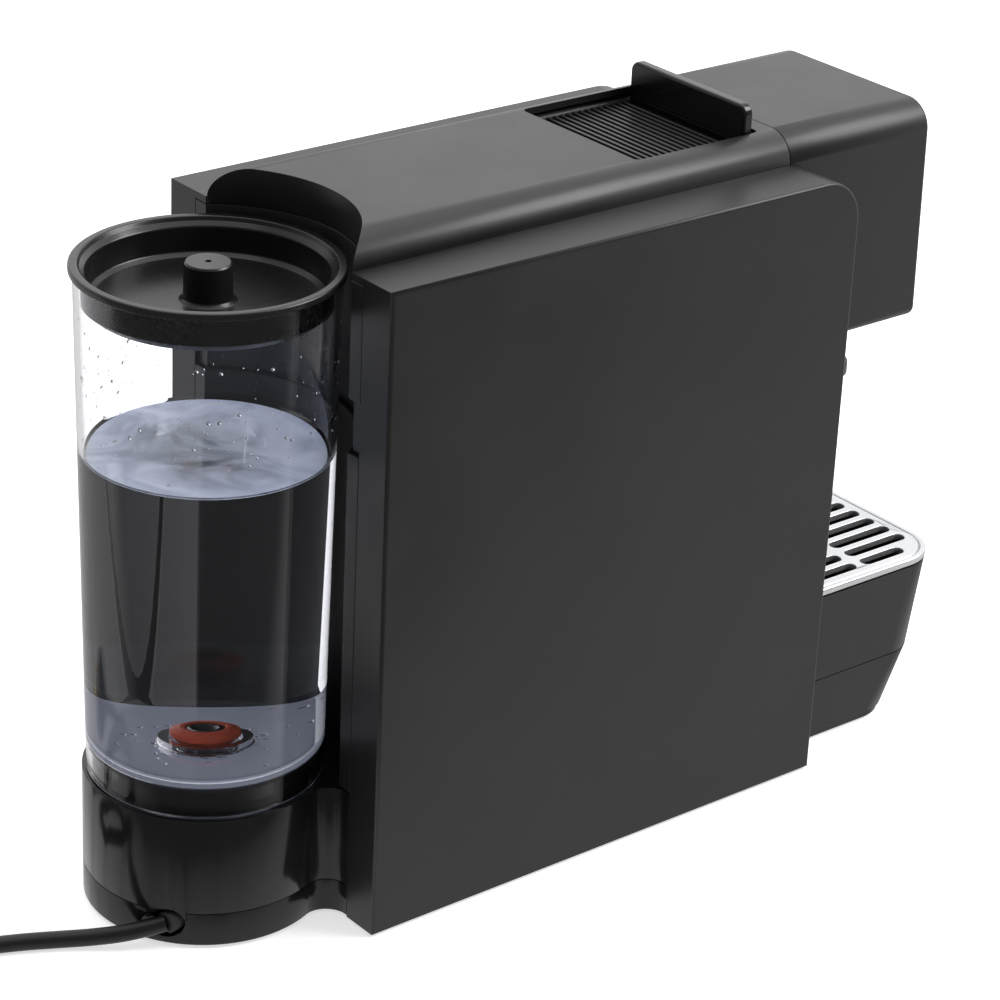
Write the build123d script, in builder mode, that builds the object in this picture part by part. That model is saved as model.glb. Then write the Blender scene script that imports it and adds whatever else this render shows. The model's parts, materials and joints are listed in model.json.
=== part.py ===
"""Slim pod coffee machine: a narrow body between two thick side panels, a cantilevered brew head at the
front, a sliding pod door on top, a pull-out drip tray and a round, clear water tank standing at the rear.

Units are millimetres. +Z is up and the machine's front faces -Y. The origin is on the table, under the
middle of the machine's length and width (the mains lead is not counted).
"""
from build123d import *
import math
import os

os.makedirs("parts", exist_ok=True)

# ------------------------------------------------------------------------------ driving dimensions
wall = 2.5                      # moulded casing wall
run_gap = 0.3                   # between pieces that move past each other

machine_front_y = -180.4        # front lip of the drip tray
tank_y = 135.0                  # vertical axis of the water tank
lid_radius = 45.4               # widest point of the tank
cover_top_z = 250.0             # top of the machine, without the door's handle
base_z = 0.8                    # underside of the base, held up by its feet

panel_outer_x = 63.1
panel_inner_x = 47.7
panel_front_y = -99.0
panel_rear_y = 107.9
panel_top_z = 239.3
body_half = 47.4                # half width of everything between the panels

cover_half = 41.1
cover_fillet = 10.7
cover_skirt_z = 236.8
bay_radius = 49.4               # concave wall that the tank stands in
seam_y = -84.3                  # between the top cover and the brew head

head_bottom_z = 166.0
head_front_low_y = -156.1
head_front_high_y = -153.9

recess_half = 31.3
recess_front_y = -77.2
recess_rear_y = -20.1

pedestal_radius = 42.5
pedestal_seam_z = 13.5
pedestal_top_z = 50.0

tray_seam_z = 26.0
grille_top_z = 65.0
tray_corner = 18.0
tray_front_seam_y = -174.0
base_front_y = -163.0

cord_diameter = 6.0
coil_centre = (46.0, 244.5)
coil_mid_radius = 33.0


from_below = (Align.CENTER, Align.CENTER, Align.MIN)
from_above = (Align.CENTER, Align.CENTER, Align.MAX)


def save(part, name):
    """Label a finished sub-part and write it to its own file."""
    part.label = name
    export_step(part, f"parts/{name}.step")


def box_between(low, high):
    """A plain block from its lowest to its highest corner, which joins a part only where it is added."""
    size = [high[i] - low[i] for i in range(3)]
    middle = [(high[i] + low[i]) / 2 for i in range(3)]
    return Pos(*middle) * Box(*size, mode=Mode.PRIVATE)


def rod_along_y(radius, y_low, y_high, x, z):
    """A round bar lying front to back."""
    bar = Cylinder(radius, y_high - y_low, mode=Mode.PRIVATE)
    return Pos(x, (y_low + y_high) / 2, z) * Rot(90, 0, 0) * bar


# ------------------------------------------------------------------------------ side panels
def panel_outline(inset):
    """Side view of a panel, drawn front to back, pulled in by inset all round."""
    low_y, high_y = panel_front_y + inset, panel_rear_y - inset
    low_z, high_z = base_z + inset, panel_top_z - inset
    with BuildSketch(Plane.YZ, mode=Mode.PRIVATE) as outline:
        with Locations(((low_y + high_y) / 2, (low_z + high_z) / 2)):
            Rectangle(high_y - low_y, high_z - low_z)
        front = outline.vertices().group_by(Axis.X)[0].sort_by(Axis.Y)
        rear = outline.vertices().group_by(Axis.X)[-1]
        fillet(front[-1], 17.0 - inset)
        fillet(front[0], 4.0 - inset)
        fillet(rear, 3.0 - inset)
    return outline.sketch_local


def make_side_panel(side, name):
    """A hollow cover with a lip that reaches in over the body to the top cover and the head."""
    depth = panel_outer_x - panel_inner_x
    lip_reach = panel_inner_x - cover_half - 0.2
    with BuildPart() as panel:
        with BuildSketch(Plane.YZ.offset(side * panel_inner_x)):
            add(panel_outline(0))
        extrude(amount=side * depth)
        outer_face = panel.faces().sort_by(Axis.X)[-1 if side > 0 else 0]
        fillet(outer_face.edges(), 1.2)
        with BuildSketch(Plane.YZ.offset(side * panel_inner_x)):
            add(panel_outline(wall))
        extrude(amount=side * (depth - wall), mode=Mode.SUBTRACT)
        with BuildSketch(Plane.YZ.offset(side * (panel_inner_x - lip_reach))):
            add(panel_outline(0))
            add(panel_outline(wall), mode=Mode.SUBTRACT)
            with Locations((0, head_bottom_z / 2)):
                Rectangle(300, head_bottom_z + 1, mode=Mode.SUBTRACT)
            with Locations((panel_rear_y, panel_top_z - wall - 60)):
                Rectangle(20, 120, mode=Mode.SUBTRACT)
        extrude(amount=side * (lip_reach + 0.5))
    save(panel.part, name)


# ------------------------------------------------------------------------------ top cover and rear covers
def cover_blank(inset, low_z):
    """The cover's rounded bar, from the seam to the rear, pulled in by inset."""
    half, top = cover_half - inset, cover_top_z - inset
    front = seam_y + 0.2 + inset
    with BuildPart() as blank:
        with BuildSketch(Plane.XZ.offset(-front)) as section:
            with Locations((0, (top + low_z) / 2)):
                Rectangle(2 * half, top - low_z)
            fillet(section.vertices().group_by(Axis.Y)[-1], cover_fillet - inset)
        extrude(amount=-(panel_rear_y - front))
    return blank.part


def make_top_cover():
    hollow = cover_blank(wall, cover_skirt_z - 1) - Pos(0, tank_y, 230) * Cylinder(bay_radius + wall, 100)
    outside = cover_blank(0, cover_skirt_z)
    with BuildPart() as cover:
        add(outside)
        with Locations((0, tank_y, 230)):
            Cylinder(bay_radius, 100, mode=Mode.SUBTRACT)
        with BuildSketch(Plane.XY.offset(cover_top_z)):
            with Locations((0, (recess_front_y + recess_rear_y) / 2)):
                RectangleRounded(2 * recess_half, recess_rear_y - recess_front_y, 2.5)
        extrude(amount=-20, mode=Mode.SUBTRACT)
        add(hollow, mode=Mode.SUBTRACT)
    save(cover.part, "top_cover")


def make_bay_wall(low_z, high_z, name, inset=0.0):
    """One height of the concave wall behind the tank, with the flat strips at its two sides."""
    edge_y = panel_rear_y - inset
    inner_y = edge_y - wall
    with BuildPart() as bay_wall:
        with BuildSketch(Plane.XY.offset(low_z)) as section:
            with Locations((0, (edge_y + 78) / 2)):
                Rectangle(2 * body_half, edge_y - 78)
            with Locations((0, tank_y)):
                Circle(bay_radius + inset, mode=Mode.SUBTRACT)
            with BuildSketch(mode=Mode.PRIVATE) as hollow:
                with Locations((0, (inner_y + 70) / 2)):
                    Rectangle(2 * (body_half - wall), inner_y - 70)
                with Locations((0, tank_y)):
                    Circle(bay_radius + inset + wall, mode=Mode.SUBTRACT)
            add(hollow.sketch, mode=Mode.SUBTRACT)
        extrude(amount=high_z - low_z)
    save(bay_wall.part, name)


# ------------------------------------------------------------------------------ brew head
def head_blank(inset):
    """The head's outer form, or its hollow when it is pulled in by inset."""
    rear = seam_y - 0.2 + inset
    low, high = head_bottom_z + inset, cover_top_z - inset
    with BuildPart() as blank:
        with BuildSketch(Plane.YZ.offset(-(cover_half - inset))):
            with BuildLine():
                Polyline(
                    (rear, low),
                    (head_front_low_y + inset, low),
                    (head_front_high_y + inset, high),
                    (rear, high),
                    close=True,
                )
            make_face()
        extrude(amount=2 * (cover_half - inset))
        long_edges = blank.edges().filter_by(Axis.Y)
        fillet(long_edges.group_by(Axis.Z)[-1], cover_fillet - inset)
        fillet(blank.edges().filter_by(Axis.Y).group_by(Axis.Z)[0], 4.0 - inset)
        if inset == 0:
            fillet(blank.faces().sort_by(Axis.Y)[0].edges(), 2.0)
    return blank.part


button_spacing = 28.0
button_radius = 8.0
button_z = 222.0
bezel_face_y = -155.4           # the bezel stands a little proud of the leaning front


def make_head():
    bottom_opening = box_between((-24, -146, 150), (24, -98, 172))
    bezel_opening = box_between((-30, -170, button_z - 13), (30, -140, button_z + 13))
    hollow = head_blank(wall) + box_between((-38.6, -90, 168.5), (38.6, -80, 238))
    outside = head_blank(0)
    with BuildPart() as head:
        add(outside)
        add(hollow, mode=Mode.SUBTRACT)
        add(bottom_opening, mode=Mode.SUBTRACT)
        add(bezel_opening, mode=Mode.SUBTRACT)
    save(head.part, "head_shell")

    with BuildPart() as plate:
        with BuildSketch(Plane.XY.offset(head_bottom_z + 0.2)):
            with Locations((0, -122)):
                RectangleRounded(47.6, 47.6, 2)
                Circle(4.4, mode=Mode.SUBTRACT)
        extrude(amount=wall)
    save(plate.part, "head_underplate")

    with BuildPart() as bezel:
        with BuildSketch(Plane.XZ.offset(-bezel_face_y)):
            with Locations((0, button_z)):
                RectangleRounded(59.6, 25.6, 6)
            with Locations((-button_spacing / 2, button_z), (button_spacing / 2, button_z)):
                Circle(button_radius + run_gap, mode=Mode.SUBTRACT)
        extrude(amount=-2.6)
    save(bezel.part, "button_bezel")


def make_button(side, name):
    """A round cap that stands 1.2 mm out of the bezel, with a flange behind it and a push stem."""
    with BuildPart() as button:
        with BuildSketch(Plane.XZ.offset(-(bezel_face_y - 1.2))):
            with Locations((side * button_spacing / 2, button_z)):
                Circle(button_radius)
        extrude(amount=-4.6)
        fillet(button.edges().group_by(Axis.Y)[0], 0.8)
        with BuildSketch(Plane.XZ.offset(-(bezel_face_y + 2.9))):
            with Locations((side * button_spacing / 2, button_z)):
                Circle(button_radius + 1.6)
        extrude(amount=-1.4)
        with BuildSketch(Plane.XZ.offset(-(bezel_face_y + 4.0))):
            with Locations((side * button_spacing / 2, button_z)):
                Circle(1.6)
        extrude(amount=-4.2)
    save(button.part, name)


spring_front_y = bezel_face_y + 4.3
button_board_y = -141.4


def make_button_spring(side, name):
    with BuildPart() as spring:
        with BuildSketch(Plane.XZ.offset(-spring_front_y)):
            with Locations((side * button_spacing / 2, button_z)):
                Circle(4.4)
                Circle(3.2, mode=Mode.SUBTRACT)
        extrude(amount=-(button_board_y - spring_front_y))
    save(spring.part, name)


def make_button_board():
    """The switch board behind the buttons, with one push switch for each."""
    with BuildPart() as board:
        with BuildSketch(Plane.XZ.offset(-button_board_y)):
            with Locations((0, button_z)):
                Rectangle(60, 24)
        extrude(amount=-1.6)
        with BuildSketch(Plane.XZ.offset(-(button_board_y - 3.2))):
            with Locations((-button_spacing / 2, button_z), (button_spacing / 2, button_z)):
                Rectangle(4.4, 4.4)
        extrude(amount=-3.2)
        with BuildSketch(Plane.XZ.offset(-(button_board_y + 1.6))):
            with Locations((0, button_z - 14)):
                Rectangle(12, 32)
        extrude(amount=-2.0)
    save(board.part, "button_board")


# ------------------------------------------------------------------------------ spout
def make_spout():
    """A neck under the head that ends in a wide lip with two outlets."""
    with BuildPart() as spout:
        with BuildSketch(Plane.XY.offset(140.5)) as lip:
            with Locations((0, -122.5)):
                Rectangle(54, 45)
            fillet(lip.vertices().group_by(Axis.Y)[0], 13)
            fillet(lip.vertices().group_by(Axis.Y)[-1], 3)
        extrude(amount=4.6)
        fillet(spout.edges().group_by(Axis.Z)[-1], 0.8)
        with BuildSketch(Plane.XY.offset(145.0)):
            with Locations((0, -122)):
                RectangleRounded(32, 32, 5)
        extrude(amount=head_bottom_z + 0.2 - 145.0)
        with BuildSketch(Plane.XY.offset(135.0)):
            with Locations((-9, -122), (9, -122)):
                Circle(4.2)
        extrude(amount=6)
        with BuildSketch(Plane.XY.offset(143.5)):
            with Locations((0, -122)):
                RectangleRounded(27, 27, 3)
        extrude(amount=30, mode=Mode.SUBTRACT)
        with Locations((-9, -122, 138), (9, -122, 138)):
            Cylinder(2.4, 20, mode=Mode.SUBTRACT)
    save(spout.part, "coffee_spout")


# ------------------------------------------------------------------------------ sliding pod door
door_plate_low_z = 241.2
door_plate_high_z = 243.4
rib_top_z = 245.3
rib_pitch = 2.95
rib_count = 17
handle_rear_y = -70.2
handle_thickness = 4.4
handle_top_z = 260.2


def make_slide_door():
    with BuildPart() as door:
        add(box_between((-32.8, -76.4, door_plate_low_z), (32.8, -13.0, door_plate_high_z)))
        with BuildSketch(Plane.XY.offset(door_plate_high_z)):
            first_rib_y = handle_rear_y + 3.0
            middle_y = first_rib_y + rib_pitch * (rib_count - 1) / 2
            with Locations((0, middle_y)):
                with GridLocations(0, rib_pitch, 1, rib_count):
                    Rectangle(61.0, 1.5)
        extrude(amount=rib_top_z - door_plate_high_z)
    save(door.part, "slide_door")

    with BuildPart() as handle:
        with BuildSketch(Plane.XZ.offset(-(handle_rear_y - handle_thickness))) as face:
            with Locations((0, (handle_top_z + door_plate_high_z) / 2)):
                Rectangle(61.2, handle_top_z - door_plate_high_z)
            fillet(face.vertices().group_by(Axis.Y)[-1], 3.6)
        extrude(amount=-handle_thickness)
        rims = handle.edges().filter_by(lambda e: e.center().Z > 246)
        fillet(rims.filter_by(lambda e: abs(e.bounding_box().size.Y) < 0.01), 1.1)
    save(handle.part, "slide_handle")


def make_slider_rails():
    """Two grooved rails under the top cover, standing on the frame's side plates."""
    with BuildPart() as rails:
        for side in (-1, 1):
            with BuildSketch(Plane.XZ.offset(79)):
                with BuildLine():
                    Polyline(
                        (side * 31.9, 239.4),
                        (side * 33.9, 239.4),
                        (side * 33.9, 234.0),
                        (side * 45.0, 234.0),
                        (side * 45.0, 235.8),
                        (side * 36.0, 235.8),
                        (side * 36.0, 245.1),
                        (side * 31.9, 245.1),
                        (side * 31.9, 243.8),
                        (side * 33.4, 243.8),
                        (side * 33.4, 240.8),
                        (side * 31.9, 240.8),
                        close=True,
                    )
                make_face()
            extrude(amount=-(79 + 42))
    save(rails.part, "slider_rails")


# ------------------------------------------------------------------------------ front wall, base and tray
def make_front_wall():
    """Back wall of the cup space: an arch with the used-pod bin's opening under it."""
    with BuildPart() as front_wall:
        with BuildSketch(Plane.XZ.offset(92)):
            with Locations((0, (165.6 + base_z + 2.7) / 2)):
                Rectangle(2 * body_half, 165.6 - base_z - 2.7)
            with Locations((0, 40)):
                Rectangle(82, 145, mode=Mode.SUBTRACT)
        extrude(amount=-wall)
    save(front_wall.part, "front_wall")


def base_outline(inset):
    """Plan view of the machine's base: the body, then the round pedestal, with hollow blends."""
    front = -160.0
    with BuildSketch(mode=Mode.PRIVATE) as outline:
        with Locations((0, (front + panel_rear_y) / 2)):
            Rectangle(2 * body_half, panel_rear_y - front)
        with Locations((0, tank_y)):
            Circle(pedestal_radius)
        corners = outline.vertices().filter_by(lambda v: abs(v.Y - panel_rear_y) < 0.1 and abs(v.X) < 40)
        fillet(corners, 8)
        fillet(outline.vertices().group_by(Axis.Y)[0], 16)
        if inset:
            offset(amount=-inset, kind=Kind.INTERSECTION)
    return outline.sketch


boss_places = [(-34, -12), (34, -12), (-34, 68), (34, 68)]

cord_exit = Vector(-26.0, 168.6, 9.0)
cord_next = Vector(-20.9, 178.4, 6.2)
lead_way = (cord_next - cord_exit).normalized()
straight_out = Vector(cord_exit.X, cord_exit.Y - tank_y, 0).normalized()
gland_way = (lead_way + straight_out).normalized()
hole_radius = 4.8
gland_length = 24.0
tab_width = 14.0                # the wall hangs below the seam over this width above the lead
tab_low_z = 11.2


def cord_channel():
    """The hole for the lead and its gland, which cross the wall at slightly different angles."""
    lead_bar = extrude(Plane(origin=cord_exit - lead_way * 4, z_dir=lead_way) * Circle(hole_radius), 18)
    gland_start = cord_exit - gland_way * (gland_length + 2)
    gland_bar = extrude(
        Plane(origin=gland_start, z_dir=gland_way) * Circle(hole_radius + 0.6), gland_length + 5
    )
    return lead_bar + gland_bar


def wall_tab(gap, high_z):
    """The stretch of the round wall above the lead, grown sideways and down by gap."""
    low_z = tab_low_z - gap
    height = high_z - low_z
    middle_z = (high_z + low_z) / 2
    ring = Cylinder(pedestal_radius, height) - Cylinder(pedestal_radius - wall, height)
    turn = math.degrees(math.atan2(straight_out.Y, straight_out.X))
    block = Pos(cord_exit.X, cord_exit.Y, middle_z) * Rot(0, 0, turn) * Box(12, tab_width + 2 * gap, height)
    return (Pos(0, tank_y, middle_z) * ring) & block


def make_base_pan():
    channel = cord_channel()
    notch = wall_tab(0.2, pedestal_seam_z)
    with BuildPart() as pan:
        with BuildSketch(Plane.XY.offset(base_z)):
            add(base_outline(0))
        extrude(amount=wall)
        with BuildSketch(Plane.XY.offset(base_z)):
            add(base_outline(0))
            add(base_outline(wall), mode=Mode.SUBTRACT)
            with Locations((0, -40)):
                Rectangle(120, 290, mode=Mode.SUBTRACT)
        extrude(amount=pedestal_seam_z - 0.15 - base_z)
        chamfer(pan.edges().group_by(Axis.Z)[0], 0.6)
        with Locations(*[(x, y, base_z) for x, y in boss_places]):
            Cylinder(5.5, 12, align=from_below)
        with Locations(*[(x, y, base_z) for x, y in boss_places]):
            Cylinder(3.2, 7, align=from_below, mode=Mode.SUBTRACT)
            Cylinder(1.7, 12, align=from_below, mode=Mode.SUBTRACT)
        add(notch, mode=Mode.SUBTRACT)
        add(channel, mode=Mode.SUBTRACT)
    save(pan.part, "base_pan")


def make_case_screws():
    with BuildPart() as screws:
        with Locations(*[(x, y, base_z + 7.0) for x, y in boss_places]):
            Cylinder(2.8, 2.2, align=from_above)
            Cylinder(1.5, 15, align=from_below)
    save(screws.part, "case_screws")


foot_places = [(-34, -140), (34, -140), (-34, 30), (34, 30), (-22, 152), (22, 152)]


def make_feet():
    with BuildPart() as feet:
        with BuildSketch():
            with Locations(*foot_places):
                Circle(6.5)
        extrude(amount=base_z)
    save(feet.part, "rubber_feet")


def sloped_block(low_z, high_z, front_low_y, front_high_y, rear_y, inset=0.0):
    """A block with round front corners, whose front runs from one depth at the bottom to another on top."""
    with BuildPart() as block:
        for z, front_y in ((low_z, front_low_y), (high_z, front_high_y)):
            with BuildSketch(Plane.XY.offset(z)) as plan:
                with Locations((0, (front_y + inset + rear_y) / 2)):
                    Rectangle(2 * (body_half - inset), rear_y - front_y - inset)
                fillet(plan.vertices().group_by(Axis.Y)[0], tray_corner - inset)
        loft(ruled=True)
    return block.part


def make_front_base():
    """The dock that the tray stands on, open underneath and closed on top."""
    low_z, high_z = base_z + wall, tray_seam_z - 0.4
    rear_y = -92.2
    outside = sloped_block(low_z, high_z, base_front_y, tray_front_seam_y, rear_y)
    hollow = sloped_block(low_z - 0.1, high_z - wall, base_front_y, tray_front_seam_y, rear_y - wall, wall)
    with BuildPart() as base:
        add(outside)
        add(hollow, mode=Mode.SUBTRACT)
    save(base.part, "front_base")


tray_rear_y = -92.6
bin_half = 40.4
bin_front_y = -92.2
bin_rear_y = -24.0
bin_low_z = 28.8
bin_high_z = 112.0


def make_drip_tray():
    """An open basin with a flat tongue behind it, on which the used-pod bin stands."""
    low_z = tray_seam_z
    rim_z = grille_top_z - 3.2
    slope = (machine_front_y - tray_front_seam_y) / (grille_top_z - tray_seam_z)
    rim_front_y = tray_front_seam_y + slope * (rim_z - low_z)
    outside = sloped_block(low_z, rim_z, tray_front_seam_y, rim_front_y, tray_rear_y)
    hollow = sloped_block(
        low_z + wall, rim_z + 0.1, tray_front_seam_y, rim_front_y, tray_rear_y - wall, wall
    )
    with BuildPart() as tray:
        add(outside)
        add(hollow, mode=Mode.SUBTRACT)
        add(box_between((-bin_half, -93, low_z), (bin_half, bin_rear_y + 1, low_z + wall)))
    save(tray.part, "drip_tray")

    with BuildPart() as bin_part:
        add(box_between((-bin_half, bin_front_y, bin_low_z), (bin_half, bin_rear_y, bin_high_z)))
        fillet(bin_part.edges().filter_by(Axis.Z), 4)
        add(
            box_between(
                (-bin_half + 2, bin_front_y + 2, bin_low_z + 2),
                (bin_half - 2, bin_rear_y - 2, bin_high_z + 1),
            ),
            mode=Mode.SUBTRACT,
        )
    save(bin_part.part, "used_pod_bin")


slot_pitch = 8.5
slot_count = 10
slot_width = 5.4
slot_row_length = 30.8
first_slot_front_y = -174.5
row_pitch = 34.5
edge_slot_setback = 9.0


grille_thickness = 2.6
groove_inset = 2.2
groove_width = 0.6
groove_depth = 0.4


def grille_plan(inset):
    """The plate seen from above, with round front corners, pulled in by inset."""
    low_y, high_y = machine_front_y + inset, -93.0 - inset
    with BuildSketch(mode=Mode.PRIVATE) as plan:
        with Locations((0, (low_y + high_y) / 2)):
            Rectangle(2 * (body_half - 0.2 - inset), high_y - low_y)
        fillet(plan.vertices().group_by(Axis.Y)[0], tray_corner - inset)
    return plan.sketch


def make_grille():
    """A flat plate with a groove round its edge and rows of round-ended slots running front to back."""
    with BuildPart() as grille:
        with BuildSketch(Plane.XY.offset(grille_top_z - grille_thickness)):
            add(grille_plan(0))
        extrude(amount=grille_thickness)
        fillet(grille.edges().group_by(Axis.Z)[-1], 0.7)
        with BuildSketch(Plane.XY.offset(grille_top_z)):
            add(grille_plan(groove_inset))
            add(grille_plan(groove_inset + groove_width), mode=Mode.SUBTRACT)
        extrude(amount=-groove_depth, mode=Mode.SUBTRACT)
        with BuildSketch(Plane.XY.offset(grille_top_z)):
            for column in range(slot_count):
                x = (column - (slot_count - 1) / 2) * slot_pitch
                outermost = column in (0, slot_count - 1)
                for row in range(2):
                    front = first_slot_front_y + row * row_pitch
                    if row == 0 and outermost:
                        front += edge_slot_setback
                    rear = first_slot_front_y + row * row_pitch + slot_row_length
                    with Locations((x, (front + rear) / 2)):
                        SlotOverall(rear - front, slot_width, rotation=90)
        extrude(amount=-5, mode=Mode.SUBTRACT)
    save(grille.part, "drip_grille")


# ------------------------------------------------------------------------------ tank and its dock
boss_radius = 36.0
boss_top_z = 59.6
socket_radius = 12.0
spigot_radius = 9.0
tank_floor_z = 63.5
floor_under_z = 61.0
tank_low_z = pedestal_top_z + run_gap
tank_rim_z = 232.2
tank_radius_low = 41.0
tank_radius_high = 44.0
glass = 2.0


def make_pedestal():
    """The round foot under the tank, with a raised boss and the socket that takes the tank's outlet."""
    channel = cord_channel()
    tab = wall_tab(0, pedestal_seam_z + 1)
    with BuildPart() as pedestal:
        with BuildSketch(Plane.XY.offset(pedestal_seam_z + 0.15)):
            add(base_outline(0))
            with Locations((0, -60)):
                Rectangle(120, 290, mode=Mode.SUBTRACT)
        extrude(amount=pedestal_top_z - pedestal_seam_z - 0.15)
        with Locations((0, tank_y, pedestal_top_z)):
            Cylinder(boss_radius, boss_top_z - pedestal_top_z, align=from_below)
        fillet(pedestal.edges().group_by(Axis.Z)[-1], 1.5)
        with BuildSketch(Plane.XY.offset(pedestal_seam_z)):
            add(base_outline(wall))
            with Locations((0, -60)):
                Rectangle(120, 290 - 2, mode=Mode.SUBTRACT)
        extrude(amount=pedestal_top_z - wall - pedestal_seam_z, mode=Mode.SUBTRACT)
        with Locations((0, tank_y, pedestal_top_z - wall - 1)):
            Cylinder(
                boss_radius - wall,
                boss_top_z - pedestal_top_z + 1,
                align=from_below,
                mode=Mode.SUBTRACT,
            )
        with Locations((0, tank_y, 43)):
            Cylinder(socket_radius + wall, boss_top_z - 43, align=from_below)
        with Locations((0, tank_y, 46)):
            Cylinder(socket_radius, 30, align=from_below, mode=Mode.SUBTRACT)
        with Locations((0, tank_y, 40)):
            Cylinder(3.0, 20, align=from_below, mode=Mode.SUBTRACT)
        add(tab)
        add(channel, mode=Mode.SUBTRACT)
    save(pedestal.part, "tank_pedestal")

    with BuildPart() as seal:
        with BuildSketch(Plane.XY.offset(49.5)):
            with Locations((0, tank_y)):
                Circle(socket_radius)
                Circle(spigot_radius + run_gap, mode=Mode.SUBTRACT)
        extrude(amount=6)
    save(seal.part, "dock_seal")


def turned(points):
    """Revolve a half section, given as (radius, height) points, about the tank's axis."""
    with BuildPart() as body:
        with BuildSketch(Plane.XZ.offset(-tank_y)):
            with BuildLine():
                Polyline(*points, close=True)
            make_face()
        revolve(axis=Axis((0, tank_y, 0), (0, 0, 1)))
    return body.part


def make_tank():
    """A clear cup with a skirt under its floor, an outlet spigot and a ring round the valve."""
    low_inner = tank_radius_low - glass
    high_inner = tank_radius_high - glass
    share = (tank_floor_z - tank_low_z) / (tank_rim_z - tank_low_z)
    floor_radius = low_inner + share * (high_inner - low_inner)
    section = [
        (tank_radius_low, tank_low_z),
        (tank_radius_high, tank_rim_z),
        (high_inner, tank_rim_z),
        (floor_radius, tank_floor_z),
        (11.5, tank_floor_z),
        (11.5, tank_floor_z + 2.2),
        (9.3, tank_floor_z + 2.2),
        (9.3, tank_floor_z),
        (2.5, tank_floor_z),
        (2.5, floor_under_z),
        (7.5, floor_under_z),
        (7.5, 51.0),
        (spigot_radius, 51.0),
        (spigot_radius, floor_under_z),
        (floor_radius - 0.05, floor_under_z),
        (low_inner, tank_low_z),
    ]
    save(turned(section), "water_tank")


valve_disc_radius = 4.9
valve_ring_radius = 8.75
spring_low_z = 52.8


def make_valve():
    """The poppet and stem, its silicone ring, and the spring under the tank's floor."""
    section = [
        (0, 51.4),
        (5.6, 51.4),
        (5.6, spring_low_z),
        (2.2, spring_low_z),
        (2.2, 66.0),
        (valve_disc_radius, 66.0),
        (valve_disc_radius, 70.2),
        (0, 70.2),
    ]
    save(turned(section), "valve_poppet")

    with BuildPart() as seal:
        with BuildSketch(Plane.XZ.offset(-tank_y)) as section:
            with Locations(((valve_disc_radius + valve_ring_radius) / 2, 67.2)):
                Rectangle(valve_ring_radius - valve_disc_radius, 5.6)
            fillet(section.vertices().group_by(Axis.X)[-1], 2.2)
        revolve(axis=Axis((0, tank_y, 0), (0, 0, 1)))
    save(seal.part, "valve_seal")

    with BuildPart() as spring:
        with BuildSketch(Plane.XY.offset(spring_low_z)):
            with Locations((0, tank_y)):
                Circle(4.6)
                Circle(3.4, mode=Mode.SUBTRACT)
        extrude(amount=floor_under_z - spring_low_z)
    save(spring.part, "valve_spring")


def make_lid():
    """A dished cap: a rim on the tank's edge, a skirt inside the glass and a finger knob in the middle."""
    rim_low = tank_rim_z + run_gap
    section = [
        (lid_radius, rim_low),
        (lid_radius, 235.0),
        (42.4, 235.0),
        (41.6, 233.6),
        (39.8, 232.0),
        (39.4, 223.4),
        (37.6, 222.0),
        (8.4, 222.0),
        (7.9, 234.6),
        (7.3, 235.3),
        (1.0, 235.3),
        (1.0, 220.0),
        (38.4, 220.0),
        (41.2, 222.6),
        (41.4, rim_low),
    ]
    blank = turned(section)
    with BuildPart() as lid:
        add(blank)
        circles = lid.edges().filter_by(GeomType.CIRCLE)
        rim_edges = circles.filter_by(lambda edge: abs(edge.radius - lid_radius) < 0.01)
        fillet(rim_edges, 0.8)
    save(lid.part, "tank_lid")


# ------------------------------------------------------------------------------ brewing parts inside
chamber_front_y = -75.0
chamber_rear_y = -30.0
chamber_low_z = 166.5
chamber_high_z = 202.0
pod_axis_z = 185.0
piston_radius = 15.0
outlet_z = 178.0


def make_chamber():
    """A block with a pocket that the pod drops through, and a bore at the rear for the piston."""
    bore = rod_along_y(piston_radius + 0.06, -45, -25, 0, pod_axis_z)
    outlet = rod_along_y(2.5, -80, -65, 0, outlet_z)
    with BuildPart() as chamber:
        add(box_between((-28, chamber_front_y, chamber_low_z), (28, chamber_rear_y, chamber_high_z)))
        add(box_between((-19.5, -70.5, 160), (19.5, -40.5, 210)), mode=Mode.SUBTRACT)
        add(bore, mode=Mode.SUBTRACT)
        add(outlet, mode=Mode.SUBTRACT)
    save(chamber.part, "brew_chamber")

    with BuildPart() as chute:
        add(box_between((-23, -74, chamber_high_z), (23, -37, 239.0)))
        add(box_between((-20.5, -71.5, 200), (20.5, -39.5, 240)), mode=Mode.SUBTRACT)
    save(chute.part, "pod_chute")

    with BuildPart() as needles:
        add(box_between((-19.3, -70.5, 168), (19.3, -69.0, 200)))
        with BuildSketch(Plane.XZ.offset(69.0)):
            with Locations((0, pod_axis_z)):
                with PolarLocations(9, 6):
                    Circle(0.9)
        extrude(amount=-3)
        with BuildSketch(Plane.XZ.offset(72)):
            with Locations((0, outlet_z)):
                Circle(2.5)
        extrude(amount=-4, mode=Mode.SUBTRACT)
    save(needles.part, "needle_plate")

    with BuildPart() as piston:
        add(rod_along_y(piston_radius, -40.3, -18, 0, pod_axis_z))
        add(rod_along_y(17.0, -18, -15, 0, pod_axis_z))
        add(rod_along_y(1.5, -43.5, -40.3, 0, pod_axis_z))
    save(piston.part, "brew_piston")


pump_axis = (-20, 56)
pump_radius = 13.0
pump_mount_radius = 17.0
pump_bracket_heights = (60, 130)


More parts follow.
